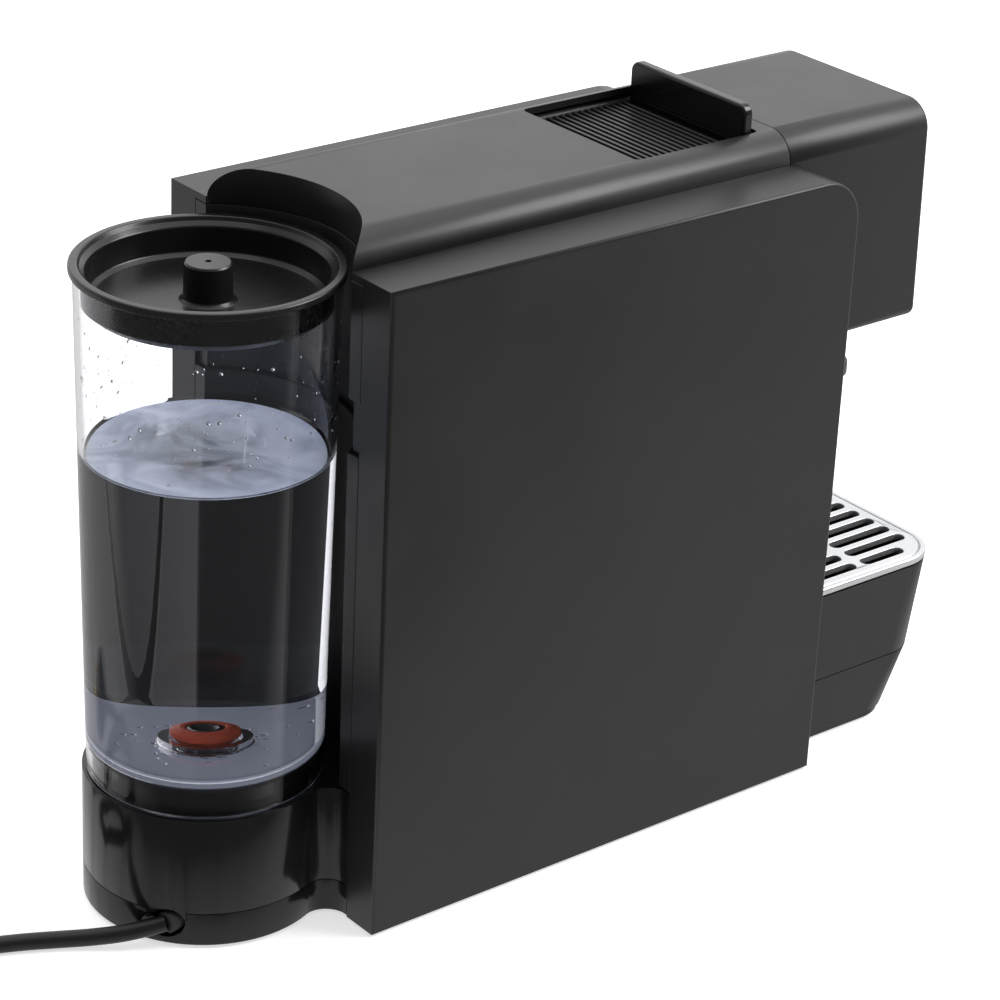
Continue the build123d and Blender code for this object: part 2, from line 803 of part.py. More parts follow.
def make_frame():
    """Two tall side plates joined by a floor, standing on the screw bosses."""
    plate_outer = 45.0
    plate_inner = 43.0
    with BuildPart() as frame:
        for side in (-1, 1):
            low_x, high_x = sorted((side * plate_inner, side * plate_outer))
            add(box_between((low_x, -78, 21), (high_x, 76, 233.8)))
        add(box_between((-plate_outer, -21, 21), (plate_outer, 76, 24)))
        for bracket_z in pump_bracket_heights:
            add(box_between((-plate_outer, 33, bracket_z), (0, 76, bracket_z + wall)))
            with Locations((*pump_axis, bracket_z)):
                Cylinder(pump_mount_radius, 3, align=from_below, mode=Mode.SUBTRACT)
        for side in (-1, 1):
            for x, y, low_z in ((28, -75, 164), (28, -32, 164)):
                low_x, high_x = sorted((side * x, side * plate_inner))
                add(box_between((low_x, y, low_z), (high_x, y + 2.5, low_z + 30)))
        with Locations(*[(x, y, base_z + 12.2) for x, y in boss_places]):
            Cylinder(5, 21 - base_z - 12.2, align=from_below)
        with Locations(*[(x, y, base_z + 12.2) for x, y in boss_places]):
            Cylinder(1.55, 12, align=from_below, mode=Mode.SUBTRACT)
    save(frame.part, "inner_frame")


def make_pump():
    """A vibration pump: a slim cylinder in two rubber rings, with a hose nipple at each end."""
    with BuildPart() as pump:
        with BuildSketch(Plane.XY.offset(54)):
            with Locations(pump_axis):
                Circle(pump_radius)
        extrude(amount=86)
        chamfer(pump.edges().filter_by(GeomType.CIRCLE), 1.5)
        with BuildSketch(Plane.XY.offset(48)):
            with Locations(pump_axis):
                Circle(3)
        extrude(amount=98)
    save(pump.part, "pump")

    with BuildPart() as coil:
        with BuildSketch(Plane.XY.offset(70)):
            with Locations(pump_axis):
                RectangleRounded(34, 34, 3)
                Circle(pump_radius, mode=Mode.SUBTRACT)
        extrude(amount=50)
    save(coil.part, "pump_coil")

    with BuildPart() as mounts:
        for bracket_z in pump_bracket_heights:
            with BuildSketch(Plane.XY.offset(bracket_z - 1)):
                with Locations(pump_axis):
                    Circle(pump_mount_radius)
                    Circle(pump_radius, mode=Mode.SUBTRACT)
            extrude(amount=4.5)
    save(mounts.part, "pump_mounts")


def make_heater():
    """The thermoblock, its two sheathed element ends and the thermal cut-out clipped to its side."""
    with BuildPart() as heater:
        add(box_between((4, 2, 60), (36, 50, 150)))
        fillet(heater.edges(), 4)
        for y in (15, 37):
            with BuildSketch(Plane.XY.offset(48)):
                with Locations((12, y)):
                    Circle(3.2)
            extrude(amount=14)
    save(heater.part, "thermoblock")

    with BuildPart() as cutout:
        with BuildSketch(Plane.YZ.offset(36)):
            with Locations((26, 105)):
                Circle(8)
        extrude(amount=4.5)
        with BuildSketch(Plane.YZ.offset(40.5)):
            with Locations((22, 105), (30, 105)):
                Rectangle(1.2, 5)
        extrude(amount=1.8)
    save(cutout.part, "thermal_cutout")


def make_flow_meter():
    with BuildPart() as meter:
        with BuildSketch(Plane.XY.offset(27)):
            with Locations(pump_axis):
                Circle(13)
        extrude(amount=14)
        with BuildSketch(Plane.XY.offset(41)):
            with Locations(pump_axis):
                Circle(3)
        extrude(amount=7)
        with BuildSketch(Plane.XZ.offset(-64)):
            with Locations((-20, 34)):
                Circle(3)
        extrude(amount=-12)
    save(meter.part, "flow_meter")

    with BuildPart() as bracket:
        add(box_between((-36, 42, 24), (-4, 70, 27)))
    save(bracket.part, "meter_bracket")


def hose(points, bend, outer, bore, name):
    """A round hose along straight runs joined by tangent arcs."""
    with BuildPart() as tube:
        with BuildLine() as route:
            FilletPolyline(*points, radius=bend)
        start = Plane(origin=points[0], z_dir=Vector(*points[1]) - Vector(*points[0]))
        with BuildSketch(start):
            Circle(outer)
            Circle(bore, mode=Mode.SUBTRACT)
        sweep(path=route.wires()[0])
    save(tube.part, name)


def make_hoses():
    suction_route = [(0, tank_y, 43), (0, tank_y, 28), (0, 96, 28), (-20, 90, 34), (-20, 76, 34)]
    hose(suction_route, 5, 4.5, 3.0, "suction_hose")
    hose([(*pump_axis, 146), (*pump_axis, 170), (20, 26, 170), (20, 26, 150)], 9, 3.5, 2.0, "pressure_hose")
    hose([(23, 2, 140), (23, -12, 140), (23, -12, 176), (23, -30, 176)], 6.5, 3.2, 2.0, "brew_hose")
    hose([(0, -75, outlet_z), (0, -122, outlet_z), (0, -122, 152)], 8, 4.0, 2.4, "coffee_tube")


def make_electrics():
    """The control board on stand-offs, the mains terminal block and the door's micro-switch."""
    with BuildPart() as board:
        with BuildSketch(Plane.YZ.offset(-37)):
            with Locations((30, 192)):
                RectangleRounded(76, 62, 2)
        extrude(amount=1.6)
        with BuildSketch(Plane.YZ.offset(-35.4)):
            with Locations((10, 205)):
                Rectangle(20, 16)
            with Locations((45, 205)):
                Circle(7)
            with Locations((50, 180)):
                Rectangle(18, 14)
        extrude(amount=14)
        with BuildSketch(Plane.YZ.offset(-37)):
            with Locations((30, 192)):
                with GridLocations(66, 52, 2, 2):
                    Circle(2.5)
        extrude(amount=-6)
    save(board.part, "control_board")

    with BuildPart() as terminals:
        add(box_between((12, 60, 24), (34, 72, 40)))
        with BuildSketch(Plane.XY.offset(40)):
            with Locations((23, 66)):
                with GridLocations(7, 0, 3, 1):
                    Circle(2.2)
        extrude(amount=-3, mode=Mode.SUBTRACT)
    save(terminals.part, "terminal_block")

    with BuildPart() as switch:
        add(box_between((34.5, 44, 222), (43, 64, 233)))
        add(box_between((36, 46, 233), (40, 49, 233.8)))
    save(switch.part, "door_switch")


# ------------------------------------------------------------------------------ mains lead
lead_route = [
    tuple(cord_exit),
    tuple(cord_next),
    (-12.6, 188.6, 3.6),
    (-6.3, 198.6, 3.05),
    (-0.6, 209.4, 3.05),
    (4.3, 220.8, 3.05),
    (8.2, 232.4, 3.05),
    (10.2, 243.6, 3.05),
]
coil_height = 12.3
coil_outer = coil_mid_radius + 6.4
coil_inner = coil_mid_radius - 6.4
plug_angle = 52.0               # where the last turn leaves the coil, seen from above


def corner_radius(points, i):
    """The largest arc that the two runs at a corner leave room for."""
    before = Vector(*points[i]) - Vector(*points[i - 1])
    after = Vector(*points[i + 1]) - Vector(*points[i])
    half_turn = math.radians(before.get_angle(after)) / 2
    return 0.45 * min(before.length, after.length) / math.tan(half_turn)


def lead_tube(points, name):
    radii = [corner_radius(points, i) for i in range(1, len(points) - 1)]
    with BuildPart() as lead:
        with BuildLine() as route:
            FilletPolyline(*points, radius=radii)
        with BuildSketch(Plane(origin=points[0], z_dir=Vector(*points[1]) - Vector(*points[0]))):
            Circle(cord_diameter / 2)
        sweep(path=route.wires()[0])
    length = route.wires()[0].length
    expected = math.pi * (cord_diameter / 2) ** 2 * length
    print(name, "radii", [round(r, 1) for r in radii])
    print(name, "length", round(length, 1), "volume ratio", round(lead.part.volume / expected, 4))
    save(lead.part, name)


def plug_frame():
    """The plug's start and direction: straight on from where the last turn leaves the coil."""
    turn = math.radians(plug_angle)
    leave = Vector(
        coil_centre[0] + (coil_mid_radius + 3) * math.cos(turn),
        coil_centre[1] + (coil_mid_radius + 3) * math.sin(turn),
        9.1,
    )
    way = Vector(math.sin(turn), -math.cos(turn), 0)
    return leave, way


plug_axis_z = 14.0
plug_reach = 27.0               # from the coil to the plug's rear end


def make_cord():
    lead_tube(lead_route, "power_cord")

    with BuildPart() as coil:
        with BuildSketch():
            with Locations(coil_centre):
                Circle(coil_outer)
                Circle(coil_inner, mode=Mode.SUBTRACT)
        extrude(amount=coil_height)
        fillet(coil.edges(), 2.4)
    save(coil.part, "cord_coil")

    leave, way = plug_frame()
    tail = [
        tuple(leave),
        tuple(leave + way * 9 + Vector(0, 0, 1.2)),
        tuple(leave + way * 18 + Vector(0, 0, 3.6)),
        tuple(leave + way * plug_reach + Vector(0, 0, plug_axis_z - 9.1)),
    ]
    lead_tube(tail, "cord_tail")

    start = leave + way * plug_reach + Vector(0, 0, plug_axis_z - 9.1)
    along = Plane(origin=start, x_dir=Vector(0, 0, 1).cross(way), z_dir=way)
    with BuildPart() as plug:
        for distance, width, height in ((0, 8, 8), (16, 15, 13), (24, 30, 24), (46, 36, 27)):
            with BuildSketch(along.offset(distance)):
                RectangleRounded(width, height, min(width, height) / 2 - 0.5)
        loft()
        fillet(plug.faces().sort_by(Axis(tuple(start), tuple(way)))[-1].edges(), 2)
    save(plug.part, "plug_body")

    with BuildPart() as pins:
        with BuildSketch(along.offset(46)):
            with Locations((-9.5, 0), (9.5, 0)):
                Circle(2.4)
        extrude(amount=19)
        fillet(pins.edges().filter_by(GeomType.CIRCLE), 1.2)
    save(pins.part, "plug_pins")

    with BuildPart() as gland:
        with BuildSketch(Plane(origin=cord_exit, z_dir=gland_way)):
            Circle(3.9)
        with BuildSketch(Plane(origin=cord_exit - gland_way * gland_length, z_dir=gland_way)):
            Circle(5.1)
        loft()
    save(gland.part, "cord_gland")


# ------------------------------------------------------------------------------ build everything
make_side_panel(-1, "left_side_panel")
make_side_panel(1, "right_side_panel")
make_top_cover()
make_bay_wall(195.2, 236.5, "rear_cover_upper")
make_bay_wall(176.6, 194.9, "tank_clip", inset=1.6)
make_bay_wall(pedestal_top_z + 0.2, 176.3, "rear_cover_lower")
make_head()
make_button(-1, "button_left")
make_button(1, "button_right")
make_button_spring(-1, "button_spring_left")
make_button_spring(1, "button_spring_right")
make_button_board()
make_spout()
make_slide_door()
make_slider_rails()
make_front_wall()
make_base_pan()
make_case_screws()
make_feet()
make_front_base()
make_drip_tray()
make_grille()
make_pedestal()
make_tank()
make_valve()
make_lid()
make_chamber()
make_frame()
make_pump()
make_heater()
make_flow_meter()
make_hoses()
make_electrics()
make_cord()
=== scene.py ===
"""Looks of the pod coffee machine: a slim black body, a clear water tank behind it and its mains lead.

Everything is in metres in the model's own frame: +Z up, the front faces -Y, the tank stands at +Y.
"""

import json
import math
import random

import bmesh
import bpy
from mathutils import Matrix, Vector


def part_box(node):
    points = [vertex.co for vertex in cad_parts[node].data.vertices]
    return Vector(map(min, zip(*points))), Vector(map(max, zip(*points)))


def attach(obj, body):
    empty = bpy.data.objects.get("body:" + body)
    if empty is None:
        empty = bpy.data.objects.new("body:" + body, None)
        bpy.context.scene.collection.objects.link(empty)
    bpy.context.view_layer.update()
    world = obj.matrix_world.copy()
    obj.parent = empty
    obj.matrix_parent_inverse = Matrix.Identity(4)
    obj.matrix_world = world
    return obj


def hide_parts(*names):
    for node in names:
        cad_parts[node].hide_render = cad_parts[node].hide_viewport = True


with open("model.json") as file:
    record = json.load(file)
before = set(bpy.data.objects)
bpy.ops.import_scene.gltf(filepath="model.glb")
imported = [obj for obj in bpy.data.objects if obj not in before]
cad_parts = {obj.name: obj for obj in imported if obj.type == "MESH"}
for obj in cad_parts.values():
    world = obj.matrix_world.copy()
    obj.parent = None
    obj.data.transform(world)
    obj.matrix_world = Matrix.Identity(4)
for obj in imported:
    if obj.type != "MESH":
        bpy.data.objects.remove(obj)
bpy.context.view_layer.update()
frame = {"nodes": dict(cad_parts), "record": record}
random.seed(7)

MM = 0.001
TANK_Y = 135.0 * MM


# ------------------------------------------------------------------------------ camera
CAMERA_TARGET = Vector((0.0, -0.0036, 0.1107))
CAMERA_BACK = Vector((-0.6891, 0.5847, 0.4280))      # from the target to the camera
CAMERA_DISTANCE = 1.2262
CAMERA_LENS = 121.45
SENSOR_WIDTH = 36.0
CAMERA_SHIFT = (-0.02286, 0.00645)
CAMERA_ROLL = math.radians(2.9)


def make_camera():
    """The view from the machine's right rear, looking down, with the small roll of a hand-held camera."""
    back = CAMERA_BACK.normalized()
    level_right = Vector((0, 0, 1)).cross(back).normalized()
    level_up = back.cross(level_right)
    right = level_right * math.cos(CAMERA_ROLL) + level_up * math.sin(CAMERA_ROLL)
    up = back.cross(right)
    data = bpy.data.cameras.new("camera")
    data.lens = CAMERA_LENS
    data.sensor_width = SENSOR_WIDTH
    data.shift_x, data.shift_y = CAMERA_SHIFT
    camera = bpy.data.objects.new("camera", data)
    bpy.context.scene.collection.objects.link(camera)
    turn = Matrix((right, up, back)).transposed().to_4x4()
    camera.matrix_world = Matrix.Translation(CAMERA_TARGET + back * CAMERA_DISTANCE) @ turn
    bpy.context.scene.camera = camera


make_camera()


# ------------------------------------------------------------------------------ mains lead
CORD_DIAMETER = 6.0 * MM
LEAD_ROUTE = [                                         # millimetres, from the gland to the coil
    (-26.0, 168.6, 9.0),
    (-20.9, 178.4, 6.2),
    (-12.6, 188.6, 3.6),
    (-6.3, 198.6, 3.05),
    (-0.6, 209.4, 3.05),
    (4.3, 220.8, 3.05),
    (8.2, 232.4, 3.05),
    (10.2, 243.6, 3.05),
]
COIL_CENTRE = (46.0, 244.5)
COIL_TURNS = 128.2 / 360 + 3                           # ends facing the plug
COIL_POINTS_PER_TURN = 16
# Pairs of a turn count and the coil's radius or height there, in millimetres.
COIL_RADII = [(0.0, 36.0), (0.7, 36.0), (1.0, 30.0), (2.45, 30.0), (2.7, 36.0), (9.0, 36.0)]
COIL_HEIGHTS = [(0.0, 3.05), (1.6, 3.05), (1.85, 9.1), (9.0, 9.1)]
PLUG_ANGLE = math.radians(52.0)
TAIL_STEPS = [(9.0, 10.3), (18.0, 12.7), (27.0, 14.0)]   # distance from the coil and height


def between_knots(knots, turn):
    """The value at one turn count, straight between the knots on either side."""
    for (start, low), (end, high) in zip(knots, knots[1:]):
        if turn <= end:
            return low + (high - low) * (turn - start) / (end - start)
    return knots[-1][1]


def coil_point(turn):
    """Where the lead's middle lies after so many turns of the coil."""
    angle = math.pi - 2 * math.pi * turn
    radius = between_knots(COIL_RADII, turn)
    return (
        COIL_CENTRE[0] + radius * math.cos(angle),
        COIL_CENTRE[1] + radius * math.sin(angle),
        between_knots(COIL_HEIGHTS, turn),
    )


def cord_points():
    """The free route, the coil's turns and the last stretch up to the plug, in millimetres."""
    points = list(LEAD_ROUTE)
    count = int(COIL_TURNS * COIL_POINTS_PER_TURN)
    for i in range(1, count + 1):
        points.append(coil_point(i / COIL_POINTS_PER_TURN))
    leave = coil_point(COIL_TURNS)
    points.append(leave)
    for distance, height in TAIL_STEPS:
        x = leave[0] + distance * math.sin(PLUG_ANGLE)
        y = leave[1] - distance * math.cos(PLUG_ANGLE)
        points.append((x, y, height))
    return points


def make_cord():
    """The whole mains lead as one round curve, from the gland through the coil to the plug."""
    data = bpy.data.curves.new("mains_lead", "CURVE")
    data.dimensions = "3D"
    data.bevel_depth = 1.0                             # times each point's radius
    data.bevel_resolution = 8
    data.resolution_u = 6
    data.use_fill_caps = True
    points = cord_points()
    spline = data.splines.new("NURBS")
    spline.points.add(len(points) - 1)
    for point, place in zip(spline.points, points):
        point.co = (place[0] * MM, place[1] * MM, place[2] * MM, 1.0)
        point.radius = CORD_DIAMETER / 2
    spline.order_u = 3
    spline.use_endpoint_u = True
    lead = bpy.data.objects.new("mains_lead", data)
    bpy.context.scene.collection.objects.link(lead)
    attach(lead, "machine_body")
    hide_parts("power_cord", "cord_coil", "cord_tail")
    return lead


mains_lead = make_cord()


# ------------------------------------------------------------------------------ materials
MIDDLE_LOW = 0.3                                       # most of a noise texture's values lie between these
MIDDLE_HIGH = 0.7
GRAIN_SCUFF = 0.02                                     # how far the grain moves the roughness either way
PLASTIC_IOR = 1.46
SILVER_DARK = (0.60, 0.61, 0.63)
SILVER_LIGHT = (0.70, 0.71, 0.72)
SILVER_METAL = 0.85
SCRATCH_STRETCH = (60.0, 1.0, 60.0)                    # long along y, fine across
SCRATCH_DEPTH = 2e-5


def set_inputs(made, values):
    """Sets a node's inputs, by socket name, to constants."""
    for name, value in values.items():
        made.inputs[name].default_value = value


def computed(tree, kind, operation, *values):
    """A maths node. Each value is a socket to link or a constant."""
    made = tree.nodes.new(kind)
    made.operation = operation
    for socket, value in zip(made.inputs, values):
        if isinstance(value, bpy.types.NodeSocket):
            tree.links.new(value, socket)
        else:
            socket.default_value = value
    return made


def object_place(tree):
    """The shaded point's place in the object's own frame, in metres."""
    return tree.nodes.new("ShaderNodeTexCoord").outputs["Object"]


def noise(tree, scale, detail, stretch=None, distortion=0.0):
    """Noise in object space; scale is in features per metre."""
    place = object_place(tree)
    texture = tree.nodes.new("ShaderNodeTexNoise")
    set_inputs(texture, {"Scale": scale, "Detail": detail, "Roughness": 0.6, "Distortion": distortion})
    if stretch:
        mapping = tree.nodes.new("ShaderNodeMapping")
        mapping.inputs["Scale"].default_value = stretch
        tree.links.new(place, mapping.inputs["Vector"])
        place = mapping.outputs["Vector"]
    tree.links.new(place, texture.inputs["Vector"])
    return texture.outputs["Fac"]


def spread(tree, source, low, high, start=MIDDLE_LOW, end=MIDDLE_HIGH):
    """Maps the range start..end of a source to the numbers low..high."""
    ranged = tree.nodes.new("ShaderNodeMapRange")
    set_inputs(ranged, {"From Min": start, "From Max": end, "To Min": low, "To Max": high})
    tree.links.new(source, ranged.inputs["Value"])
    return ranged.outputs["Result"]


def ramp(tree, source, low, high, start=MIDDLE_LOW, end=MIDDLE_HIGH):
    """Maps the range start..end of a source to a blend of two colours."""
    blend = tree.nodes.new("ShaderNodeValToRGB")
    for stop, position, colour in zip(blend.color_ramp.elements, (start, end), (low, high)):
        stop.position = position
        stop.color = (*colour, 1)
    tree.links.new(source, blend.inputs["Fac"])
    return blend.outputs["Color"]


def dent(tree, shader, height, depth, strength=1.0):
    """Dents a surface by a texture, depth metres at the most."""
    bump = tree.nodes.new("ShaderNodeBump")
    set_inputs(bump, {"Strength": strength, "Distance": depth})
    tree.links.new(height, bump.inputs["Height"])
    tree.links.new(bump.outputs["Normal"], shader.inputs["Normal"])


def new_material(name):
    """A material, its node tree and its main shader."""
    material = bpy.data.materials.new(name)
    material.use_nodes = True
    return material, material.node_tree, material.node_tree.nodes["Principled BSDF"]


def surface(name, dark, light, rough, grain, depth, cloud=25.0, constants=()):
    """An opaque finish: colour and roughness drift in soft clouds, and a fine grain dents the surface.

    rough is the lowest and highest roughness, grain the dents per metre and depth their height in metres.
    cloud is the clouds per metre, and constants are further settings of the shader.
    """
    material, tree, shader = new_material(name)
    drift = noise(tree, cloud, 4.0)
    fine = noise(tree, grain, 2.0)
    tree.links.new(ramp(tree, drift, dark, light), shader.inputs["Base Color"])
    clouded = spread(tree, drift, *rough)
    scuffed = spread(tree, fine, -GRAIN_SCUFF, GRAIN_SCUFF)
    mixed = computed(tree, "ShaderNodeMath", "ADD", clouded, scuffed)
    tree.links.new(mixed.outputs[0], shader.inputs["Roughness"])
    dent(tree, shader, fine, depth)
    set_inputs(shader, {"IOR": PLASTIC_IOR, **dict(constants)})
    return material


def brushed_silver():
    """Fine scratches running front to back under a pale metallic lacquer."""
    material, tree, shader = new_material("grille_silver")
    drift = noise(tree, 30.0, 4.0)
    scratches = noise(tree, 60.0, 5.0, stretch=SCRATCH_STRETCH)
    tree.links.new(ramp(tree, drift, SILVER_DARK, SILVER_LIGHT), shader.inputs["Base Color"])
    tree.links.new(spread(tree, scratches, 0.30, 0.46), shader.inputs["Roughness"])
    dent(tree, shader, scratches, SCRATCH_DEPTH, strength=0.6)
    set_inputs(shader, {"Metallic": SILVER_METAL})
    return material


def clear_material(name, tint, ior, rough, ripples, depth):
    """A see-through material with faint ripples: so many per metre, and depth metres high."""
    material, tree, shader = new_material(name)
    drift = noise(tree, ripples, 3.0)
    tree.links.new(spread(tree, drift, *rough), shader.inputs["Roughness"])
    dent(tree, shader, drift, depth)
    set_inputs(shader, {"Base Color": (*tint, 1), "Transmission Weight": 1.0, "IOR": ior})
    return material


# For each finish: its darker and its lighter colour, its lowest and highest roughness, its grain in dents
# per metre, and the dents' depth in metres.
PLASTIC_FINISHES = {
    "satin_black": ((0.010, 0.010, 0.0105), (0.014, 0.014, 0.0145), (0.33, 0.40), 2600, 4e-6),
    "gloss_black": ((0.005, 0.005, 0.0055), (0.008, 0.008, 0.0085), (0.12, 0.18), 900, 1e-6),
    "lid_black": ((0.008, 0.008, 0.0085), (0.011, 0.011, 0.0115), (0.22, 0.30), 1600, 3e-6),
    "silicone_red": ((0.66, 0.085, 0.035), (0.78, 0.115, 0.045), (0.42, 0.52), 1400, 8e-6),
    "rubber_black": ((0.018, 0.018, 0.018), (0.030, 0.030, 0.030), (0.62, 0.75), 1800, 1e-5),
    "cord_black": ((0.008, 0.008, 0.0085), (0.012, 0.012, 0.0125), (0.36, 0.46), 1500, 8e-6),
    "inner_grey": ((0.10, 0.10, 0.105), (0.14, 0.14, 0.145), (0.45, 0.55), 2000, 6e-6),
    "inner_white": ((0.66, 0.66, 0.63), (0.74, 0.74, 0.71), (0.40, 0.50), 2000, 5e-6),
    "circuit_green": ((0.010, 0.085, 0.035), (0.016, 0.120, 0.050), (0.30, 0.40), 900, 8e-6),
    "hose_white": ((0.55, 0.55, 0.52), (0.66, 0.66, 0.62), (0.34, 0.44), 1200, 5e-6),
}
METAL_FINISHES = {
    "steel": ((0.50, 0.50, 0.51), (0.60, 0.60, 0.61), (0.26, 0.36), 2200, 3e-6),
    "aluminium": ((0.62, 0.62, 0.63), (0.72, 0.72, 0.73), (0.40, 0.52), 1300, 2e-5),
    "brass": ((0.62, 0.47, 0.20), (0.72, 0.55, 0.26), (0.24, 0.34), 2200, 3e-6),
}
# The frost's pale violet is partly a frosted floor and partly painted light, standing in for light
# gathered through the water.
FROST_FINISH_AND_PAINTED_LIGHT = ((0.66, 0.67, 0.80), (0.76, 0.77, 0.88), (0.5, 0.6), 500, 3e-5)
FROST_CLOUD = 60.0
# Painted glow: the frost layer gives off light, though it is no lamp.
FROST_PAINTED_GLOW = {"Emission Color": (0.74, 0.80, 1.0, 1), "Emission Strength": 0.15}
TANK_TINT = (0.975, 0.975, 0.995)
TANK_IOR = 1.28                                        # low for plastic: it narrows the wall's dark edges
WATER_TINT = (0.975, 0.985, 1.0)
WATER_IOR = 1.333
BUBBLE_TINT = (1.0, 1.0, 1.0)
BUBBLE_IOR = 1.0502                                    # bends light very little, so bubbles stay faint

materials = {name: surface(name, *finish) for name, finish in PLASTIC_FINISHES.items()}
for metal, metal_finish in METAL_FINISHES.items():
    materials[metal] = surface(metal, *metal_finish, constants={"Metallic": 1.0})
materials["grille_silver"] = brushed_silver()
materials["clear_tank"] = clear_material("clear_tank", TANK_TINT, TANK_IOR, (0.0, 0.02), 22.0, 1e-5)
water_material = clear_material("water", WATER_TINT, WATER_IOR, (0.0, 0.004), 30.0, 4e-6)
bubble_material = clear_material("bubble", BUBBLE_TINT, BUBBLE_IOR, (0.0, 0.004), 60.0, 1e-5)
# The frost layer's material: a frosted finish with a painted glow.
frost_painted_glow_material = surface("floor_frost_painted_glow", *FROST_FINISH_AND_PAINTED_LIGHT, cloud=FROST_CLOUD, constants=FROST_PAINTED_GLOW)


# ------------------------------------------------------------------------------ carried-over nodes
EDGE_ROUND = 0.35 * MM
LEFT_SHARP = (                                         # large plates with modelled edges, and thin springs
    "left_side_panel", "right_side_panel", "valve_spring", "button_spring_left", "button_spring_right",
)
SHARP_CORNER = math.radians(40)                        # faces that meet at more than this get a round
WELD_GAP = 1e-6


def dress_node(name, slot):
    """Gives a carried-over node its slot's finish, joined faces and softly rounded edges."""
    piece = frame["nodes"][name]
    piece.data.materials.clear()
    piece.data.materials.append(materials[slot])
    weld = piece.modifiers.new("weld", "WELD")
    weld.merge_threshold = WELD_GAP
    if name not in LEFT_SHARP:
        bevel = piece.modifiers.new("edges", "BEVEL")
        bevel.width = EDGE_ROUND
        bevel.segments = 3
        bevel.limit_method = "ANGLE"
        bevel.angle_limit = SHARP_CORNER
        bevel.harden_normals = True
        bevel.use_clamp_overlap = True


for subpart in frame["record"]["subparts"]:
    dress_node(subpart["node"], subpart["material_slot"])
mains_lead.data.materials.append(materials["cord_black"])


# ------------------------------------------------------------------------------ adding pieces
def add_piece(name, shape, material, body):
    """Makes a smooth piece of a finished mesh, and rides it on one body."""
    bmesh.ops.recalc_face_normals(shape, faces=shape.faces)
    for face in shape.faces:
        face.smooth = True
    mesh = bpy.data.meshes.new(name)
    shape.to_mesh(mesh)
    shape.free()
    mesh.materials.append(material)
    piece = bpy.data.objects.new(name, mesh)
    bpy.context.scene.collection.objects.link(piece)
    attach(piece, body)
    return piece


CORNER_STEP = math.radians(15)
KEPT_EDGE = math.radians(32)                           # faces that meet at more than this stay crisp


def rounded_section(points):
    """A half section with arcs for corners. A point is (radius, height) or (radius, height, corner)."""
    count = len(points)
    outline = []
    for i, point in enumerate(points):
        corner = Vector(point[:2])
        size = point[2] if len(point) > 2 else 0.0
        if size == 0.0:
            outline.append(corner)
            continue
        before = (Vector(points[i - 1][:2]) - corner).normalized()
        after = (Vector(points[(i + 1) % count][:2]) - corner).normalized()
        half = before.angle(after) / 2
        reach = size / math.tan(half)
        centre = corner + (before + after).normalized() * (size / math.sin(half))
        start = corner + before * reach - centre
        sweep = start.angle_signed(corner + after * reach - centre)
        steps = max(3, int(abs(sweep) / CORNER_STEP))
        for k in range(steps + 1):
            turn = Matrix.Rotation(-sweep * k / steps, 2)
            outline.append(centre + turn @ start)
    return outline


def revolve(name, points, body, material, segments=128):
    """A smooth turned piece about the tank's axis, from a half section in millimetres.

    A section that starts on the axis also ends on it. Any other is a closed loop.
    """
    shape = bmesh.new()
    rings = []
    for radius, height in rounded_section(points):
        if radius == 0:
            rings.append([shape.verts.new((0, TANK_Y, height * MM))])
            continue
        ring = []
        for k in range(segments):
            angle = 2 * math.pi * k / segments
            x = radius * MM * math.cos(angle)
            y = radius * MM * math.sin(angle)
            ring.append(shape.verts.new((x, TANK_Y + y, height * MM)))
        rings.append(ring)
    pairs = list(zip(rings, rings[1:]))
    if points[0][0] > 0:
        pairs.append((rings[-1], rings[0]))
    for lower, upper in pairs:
        for k in range(segments):
            j = (k + 1) % segments
            if len(lower) == 1:
                shape.faces.new((lower[0], upper[j], upper[k]))
            elif len(upper) == 1:
                shape.faces.new((lower[k], lower[j], upper[0]))
            else:
                shape.faces.new((lower[k], lower[j], upper[j], upper[k]))
    piece = add_piece(name, shape, material, body)
    piece.data.set_sharp_from_angle(angle=KEPT_EDGE)
    weighted = piece.modifiers.new("even_shading", "WEIGHTED_NORMAL")
    weighted.keep_sharp = True
    weighted.weight = 100
    return piece


# ------------------------------------------------------------------------------ tank
# Radii and heights in millimetres, from the tank's axis and from the ground.
tank_low, tank_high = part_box("water_tank")
LOW_Z = tank_low.z / MM
RIM_Z = tank_high.z / MM
LOW_RADIUS = 41.0
HIGH_RADIUS = 44.0
GLASS = 2.0
FLOOR_Z = 63.5
FLOOR_UNDER_Z = 61.0
FLOOR_CORNER = 3.0
SPIGOT_Z = 51.0
SPIGOT_RADIUS = 9.0
SPIGOT_BORE = 7.5
STEM_HOLE = 2.5
FLOOR_RING = (9.3, 11.5)                               # inside and outside radius
FLOOR_RING_HEIGHT = 2.2
FROST_HOLE = 12.0
FROST_INSET = 1.2
FROST_LAYER = (0.9, 0.4)                               # depths of its two sides below the floor's top
FROST_EDGE = 0.1
WATER_Z = 168.5
WATER_OVERLAP = 0.05                                   # how far the water reaches into wall and floor
RING_GAP = 0.1                                         # how far its section stays off ring and hole
WETTING = 1.6                                          # how far the water climbs the wall
WETTING_REACH = 4.0                                    # how far from the wall it is still curled
WETTING_FALL = 1.1                                     # how fast the curl dies away, per millimetre
WETTING_STEPS = 8
STILL_RADIUS = 20.0                                    # the water is flat inside this
WALL_SEGMENTS = 192


def outer_radius(height):
    """The tank widens a little towards its rim."""
    return LOW_RADIUS + (HIGH_RADIUS - LOW_RADIUS) * (height - LOW_Z) / (RIM_Z - LOW_Z)


def inner_radius(height):
    """The radius of the wall's inside."""
    return outer_radius(height) - GLASS


